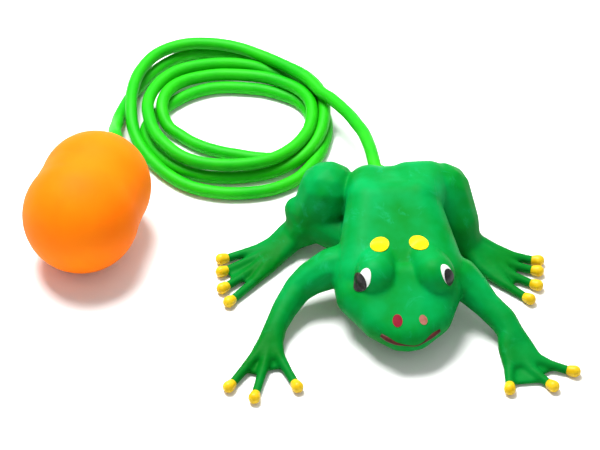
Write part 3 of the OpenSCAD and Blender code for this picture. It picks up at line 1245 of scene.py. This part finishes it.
def standard_spots() -> list[PaintSpot]:
    """Return the frog's painted marks."""
    return [
        PaintSpot("left_eye_white", EYE_WHITE, (-13.4, -15.3, 25.5), (-0.62, -0.61, 0.48), 4.4, 6.8, 9),
        PaintSpot("left_pupil", PUPIL_BLACK, (-15.1, -14.5, 23), (-0.83, -0.5, 0.22), 6.4, 6.5, thick=0.3),
        PaintSpot("right_eye_white", EYE_WHITE, (14, -16.3, 26), (0.53, -0.6, 0.6), 4.1, 7.2, -4),
        PaintSpot("right_pupil", PUPIL_BLACK, (14.8, -16.7, 24.9), (0.66, -0.62, 0.42), 4, 6.2, -2, 0.3),
        PaintSpot("left_brow_spot", SPOT_YELLOW, (-6.8, -1.4, 26.8), (0, -0.7, 0.71), 6.5, 5, 14, 0.3),
        PaintSpot("right_brow_spot", SPOT_YELLOW, (6.2, -1.8, 26.9), (0, -0.7, 0.71), 6.5, 4.9, -14, 0.3),
        PaintSpot("left_nostril", NOSTRIL_RED, (-3.6, -27.6, 17.3), (-0.04, -0.41, 0.91), 3.3, 4.5, 4),
        PaintSpot("right_nostril", NOSTRIL_PINK, (4.9, -27.8, 17.2), (0.15, -0.44, 0.89), 2.7, 3.5, -4),
    ]


@dataclass
class Frog:
    """The moulded frog with its painted face. Millimetres."""

    torso: list[Ball] = field(
        default_factory=lambda: [
            (12.5, -5, 15, 9.6), (10, 3, 19, 8.6), (7.6, 19, 25.2, 8.4), (7.5, 23, 16, 8.5),
            (5, 30, 21.6, 8.5), (8, 22, 12.4, 8),
        ]
    )
    head: list[Ball] = field(
        default_factory=lambda: [
            (12.4, -13, 14.5, 7.2), (8, -10, 18, 6.6), (9.2, -22.3, 12, 6.1), (2.6, -27.7, 11, 5.7),
        ]
    )
    jaw: list[Ball] = field(
        default_factory=lambda: [(10, -14, 10.5, 5), (7, -22.5, 9.6, 4.2), (0.8, -29.7, 9.2, 3.3)]
    )
    eyes: list[list[Ball]] = field(
        default_factory=lambda: [
            [(-9.2, -10.9, 22.2, 6.9), (-8.6, -7.5, 18.5, 7), (-7.4, -2.7, 19.8, 7.2)],
            [(10.4, -12.2, 22.2, 6.8), (9, -8.2, 18.5, 7), (7.4, -2.7, 19.8, 7.2)],
        ]
    )
    humps: list[list[Ball]] = field(
        default_factory=lambda: [
            [(-8.2, 19.5, 26, 7.6), (-6.8, 29.6, 23.2, 8.4), (-6.4, 24, 24.6, 8)],
            [(8.6, 19.5, 26, 7.9), (6.6, 29.8, 23.4, 8.4), (13.4, 30.2, 22.7, 8.6)],
        ]
    )
    cheek: list[Ball] = field(
        default_factory=lambda: [(-15, -11.5, 13.4, 7.3), (-9.5, -21.2, 11.6, 6), (-14.4, -2, 14.5, 8.4)]
    )
    legs: list[Leg] = field(default_factory=standard_legs)
    spots: list[PaintSpot] = field(default_factory=standard_spots)
    voxel: float = 0.45
    rounds: int = 26
    tip_voxel: float = 0.3
    tip_rounds: int = 3
    floor_cut: float = 0.05
    belly_z: float = 5.4
    wall: float = 2.2
    shoulder_x: float = 20.5
    hip_x: float = 14.5
    waist_line: tuple[float, float] = (10.35, -0.4755)
    rump: Point = (-3.5, 37, 22.5)
    # Outer X, low Y and Z, high Y and Z of the block that clears a hind leg's place
    notch: tuple[float, float, float, float, float] = (40, -10, -5, 70, 60)
    collar_r: float = 4.3
    tube_hole_r: float = 3.3
    hole_reach: float = 9
    # Middle, reach to each end's middle, end radius, bottom and top of the seat for the belly plate
    plate: tuple[float, float, float, float, float] = (2, 9, 14.1, -2, 7.5)
    plate_sides: int = 96

    def form(self) -> bpy.types.Object:
        """Melt the torso, head, bulges and legs into one skin.

        Returns:
            The whole frog as one closed skin.
        """
        made = [hull(mirrored(part), 4) for part in (self.torso, self.head, self.jaw)]
        made += [hull(part, 4) for part in (*self.eyes, *self.humps, self.cheek)]
        for leg in self.legs:
            made += leg.forms()
        skin = join(made, "frog_form")
        remesh(skin, self.voxel, self.rounds)
        trim(skin, (0, 0, self.floor_cut), (0, 0, -1))
        return skin

    def waist_plane(self, side: Side) -> tuple[Point, Point]:
        """Find the plane between the front and the hind leg of a side.

        Args:
            side: Left or right.

        Returns:
            A point on the plane, and its direction towards the hind leg.
        """
        y, slope = self.waist_line
        return (side.value * self.shoulder_x, y, 0), (-side.value * slope, 1, 0)

    def leg_part(self, whole: bpy.types.Object, leg: Leg) -> bpy.types.Object:
        """Cut one leg out of a copy of the whole skin.

        Args:
            whole: The whole skin.
            leg: The leg.

        Returns:
            The leg's skin.
        """
        part = copy_of(whole, f"{leg.name}_skin")
        s = leg.side.value
        front = leg.name.startswith("front")
        trim(part, (s * (self.shoulder_x if front else self.hip_x), 0, 0), (-s, 0, 0))
        place, back = self.waist_plane(leg.side)
        trim(part, place, back if front else tuple(-v for v in back))
        return part

    def torso_part(self, whole: bpy.types.Object) -> bpy.types.Object:
        """Cut the body out of a copy of the whole skin, hollow it and make its seats.

        Args:
            whole: The whole skin.

        Returns:
            The body's skin.
        """
        body = copy_of(whole, "torso_skin")
        for side in Side:
            s = side.value
            trim(body, (s * self.shoulder_x, 0, 0), (s, 0, 0))
            low, high = sorted((s * self.hip_x, s * self.notch[0]))
            notch = block((low, *self.notch[1:3]), (high, *self.notch[3:]))
            place, back = self.waist_plane(side)
            trim(notch, place, tuple(-v for v in back))
            cut_away(body, notch)
        trim(body, (0, 0, self.belly_z), (0, 0, -1))
        middle, reach, radius, low, top = self.plate
        ends = [
            rod((0, middle + k * reach, low), (0, middle + k * reach, top), radius, self.plate_sides)
            for k in (-1, 1)
        ]
        cut_away(body, wrapped(join(ends, "plate_seat")))
        hollow = [(x, y, z, r - self.wall) for x, y, z, r in self.torso]
        cut_away(body, hull(mirrored(hollow), 4))
        x, y, z = self.rump
        cut_away(body, rod((x, y, z), (x, y + self.hole_reach, z), self.collar_r))
        cut_away(body, rod((x, y - self.hole_reach, z), (x, y + self.hole_reach, z), self.tube_hole_r))
        return body

    def build_skin(self, paints: Paints) -> bpy.types.Object:
        """Split the skin into the body and the four legs, and dress the legs and their toe tips.

        Args:
            paints: The finishes.

        Returns:
            The body's skin.
        """
        whole = self.form()
        green = paints.get(FROG_GREEN)
        for leg in self.legs:
            part = self.leg_part(whole, leg)
            smooth(part, 60)
            dress(part, green, "frog_green", "frog")
            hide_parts(leg.name)
            log.info("%s has %d faces", part.name, len(part.data.polygons))
            tips = join(leg.tip_forms(), f"{leg.name}_toe_tips")
            remesh(tips, self.tip_voxel, self.tip_rounds)
            smooth(tips, 80)
            dress(tips, paints.get(TOE_YELLOW), "toe_yellow", "frog")
            where, side = leg.name.split("_leg_")
            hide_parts(f"toe_tips_{where}_{side}")
        body = self.torso_part(whole)
        bpy.data.objects.remove(whole)
        return body

    def build(self, paints: Paints) -> None:
        """Build the whole frog.

        Args:
            paints: The finishes.
        """
        body = self.build_skin(paints)
        for spot in self.spots:
            spot.lay(body, paints)
        Mouth().cut_and_paint(body, paints)
        smooth(body, 60)
        dress(body, paints.get(FROG_GREEN), "frog_green", "frog")
        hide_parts("body_skin")
        log.info("torso skin has %d faces", len(body.data.polygons))


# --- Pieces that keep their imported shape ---


class KeptPieces:
    """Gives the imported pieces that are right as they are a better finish."""

    finishes = {
        "belly_plate": BELLY_GREEN,
        "rump_grommet": TUBE_GREEN,
        "inner_tube": TUBE_GREEN,
        "air_port": FITTING_IVORY,
        "kicker_upper_leaf": BLADDER_GREEN,
        "kicker_lower_leaf": BLADDER_GREEN,
        "kicker_sole": SOLE_GREY,
        "bulb_neck": BULB_ORANGE,
        "bulb_barb": FITTING_IVORY,
    }

    def dress(self, frame: dict, paints: Paints) -> None:
        """Give each kept node its finish.

        Args:
            frame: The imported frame.
            paints: The finishes.
        """
        for node, finish in self.finishes.items():
            piece = frame["nodes"][node]
            material = paints.get(finish)
            if not piece.material_slots:
                piece.data.materials.append(material)
            for place in piece.material_slots:
                place.material = material
            log.info("%s keeps its shape", node)


def main() -> None:
    """Build the studio and every piece in order."""
    logging.basicConfig(level=logging.INFO, format="%(name)s: %(message)s")
    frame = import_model()
    paints = Paints()
    Studio().build()
    AirTube().build(paints)
    SqueezeBulb().build(paints)
    Frog().build(paints)
    KeptPieces().dress(frame, paints)


if __name__ == "__main__":
    main()
